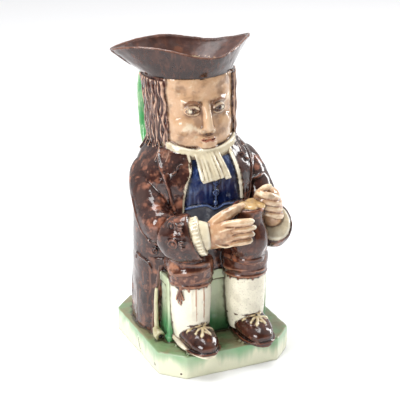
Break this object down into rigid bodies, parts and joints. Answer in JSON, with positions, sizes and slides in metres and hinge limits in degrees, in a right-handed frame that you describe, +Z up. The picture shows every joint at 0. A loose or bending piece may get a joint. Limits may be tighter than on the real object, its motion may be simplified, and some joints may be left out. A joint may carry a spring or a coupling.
{
  "type": "toby jug",
  "caption": "Glazed earthenware toby jug: a seated figure in a three-cornered hat holding a small jug, on a chamfered plinth, with a strap handle.",
  "frame": {"origin": "middle of the plinth's flat underside", "axes": "+Z up, -Y the way the figure faces, +X to the figure's left hand"},
  "size_m": [0.1213, 0.1879, 0.2475],
  "materials": {
    "glazed_earthenware": "glossy lead glaze over cream earthenware, coloured in mottled brown, blue, green, rust and cream"
  },
  "bodies": {
    "root": {"toby_jug": "glazed_earthenware"}
  },
  "joints": []
}
